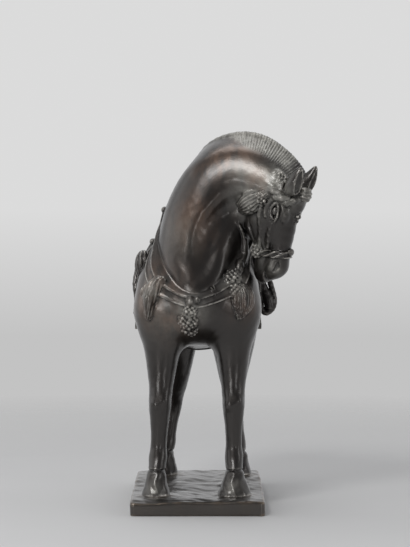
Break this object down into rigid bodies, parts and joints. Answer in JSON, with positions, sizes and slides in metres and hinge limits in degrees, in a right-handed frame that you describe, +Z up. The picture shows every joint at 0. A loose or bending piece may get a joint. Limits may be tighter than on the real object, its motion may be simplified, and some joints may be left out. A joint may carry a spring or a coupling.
{
  "type": "bronze horse figure",
  "caption": "Dark cast-bronze horse in saddle and harness, standing with arched neck and head turned aside, on a flat rectangular ground plate.",
  "frame": {"origin": "middle of the ground plate's underside, on the surface the figure stands on", "axes": "+Z up, the horse faces -Y, +X is the horse's left"},
  "size_m": [0.2244, 0.3493, 0.4563],
  "materials": {
    "horse": "dark brown-black patinated bronze, satin to glossy, rubbed on the high spots",
    "ground_plate": "dark patinated bronze, satin, rubbed golden brown along the front edge"
  },
  "bodies": {
    "root": {"horse": "horse", "ground_plate": "ground_plate"}
  },
  "joints": []
}
